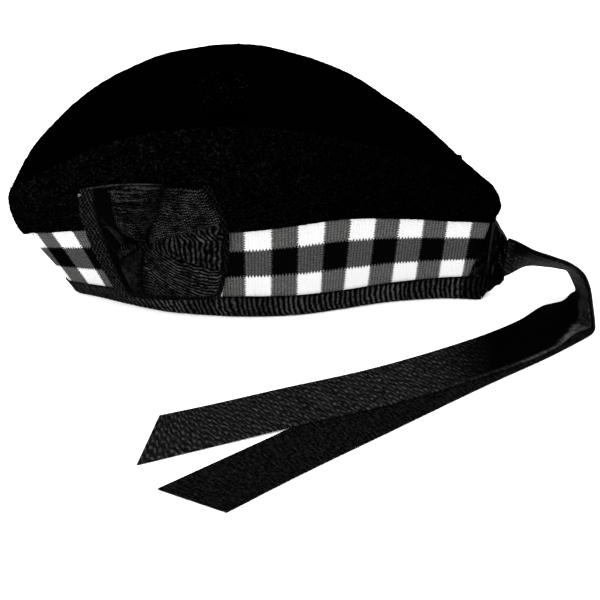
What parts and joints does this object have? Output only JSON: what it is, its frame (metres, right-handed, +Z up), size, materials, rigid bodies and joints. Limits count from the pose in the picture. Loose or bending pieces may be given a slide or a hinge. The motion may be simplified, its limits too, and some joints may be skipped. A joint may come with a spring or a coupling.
{
  "type": "glengarry cap",
  "caption": "Black milled wool glengarry cap with a diced knitted band, ribbed silk binding, square cockade, toorie and loose ribbon tails, standing open on its rim.",
  "frame": {"origin": "middle of the head opening's width, on the plane that the cap stands on, under the toorie", "axes": "+X towards the back of the cap, +Y towards the wearer's right, +Z up"},
  "size_m": [0.3371, 0.2482, 0.1376],
  "materials": {
    "milled_wool": "matte felted wool",
    "diced_knit": "matte ribbed knit, diced in white, grey and black",
    "ribbed_silk": "satin, finely ribbed across its width",
    "toorie_wool": "matte cut wool yarn"
  },
  "bodies": {
    "root": {"wool_body": "milled_wool", "diced_band": "diced_knit", "rim_binding": "ribbed_silk", "slit_tape_left": "ribbed_silk", "slit_tape_right": "ribbed_silk", "toorie": "toorie_wool", "cockade_base": "ribbed_silk", "cockade_bow": "ribbed_silk", "cockade_pinch": "ribbed_silk", "tail_gather": "ribbed_silk", "ribbon_tail_lower": "ribbed_silk", "ribbon_tail_upper": "ribbed_silk"}
  },
  "joints": []
}
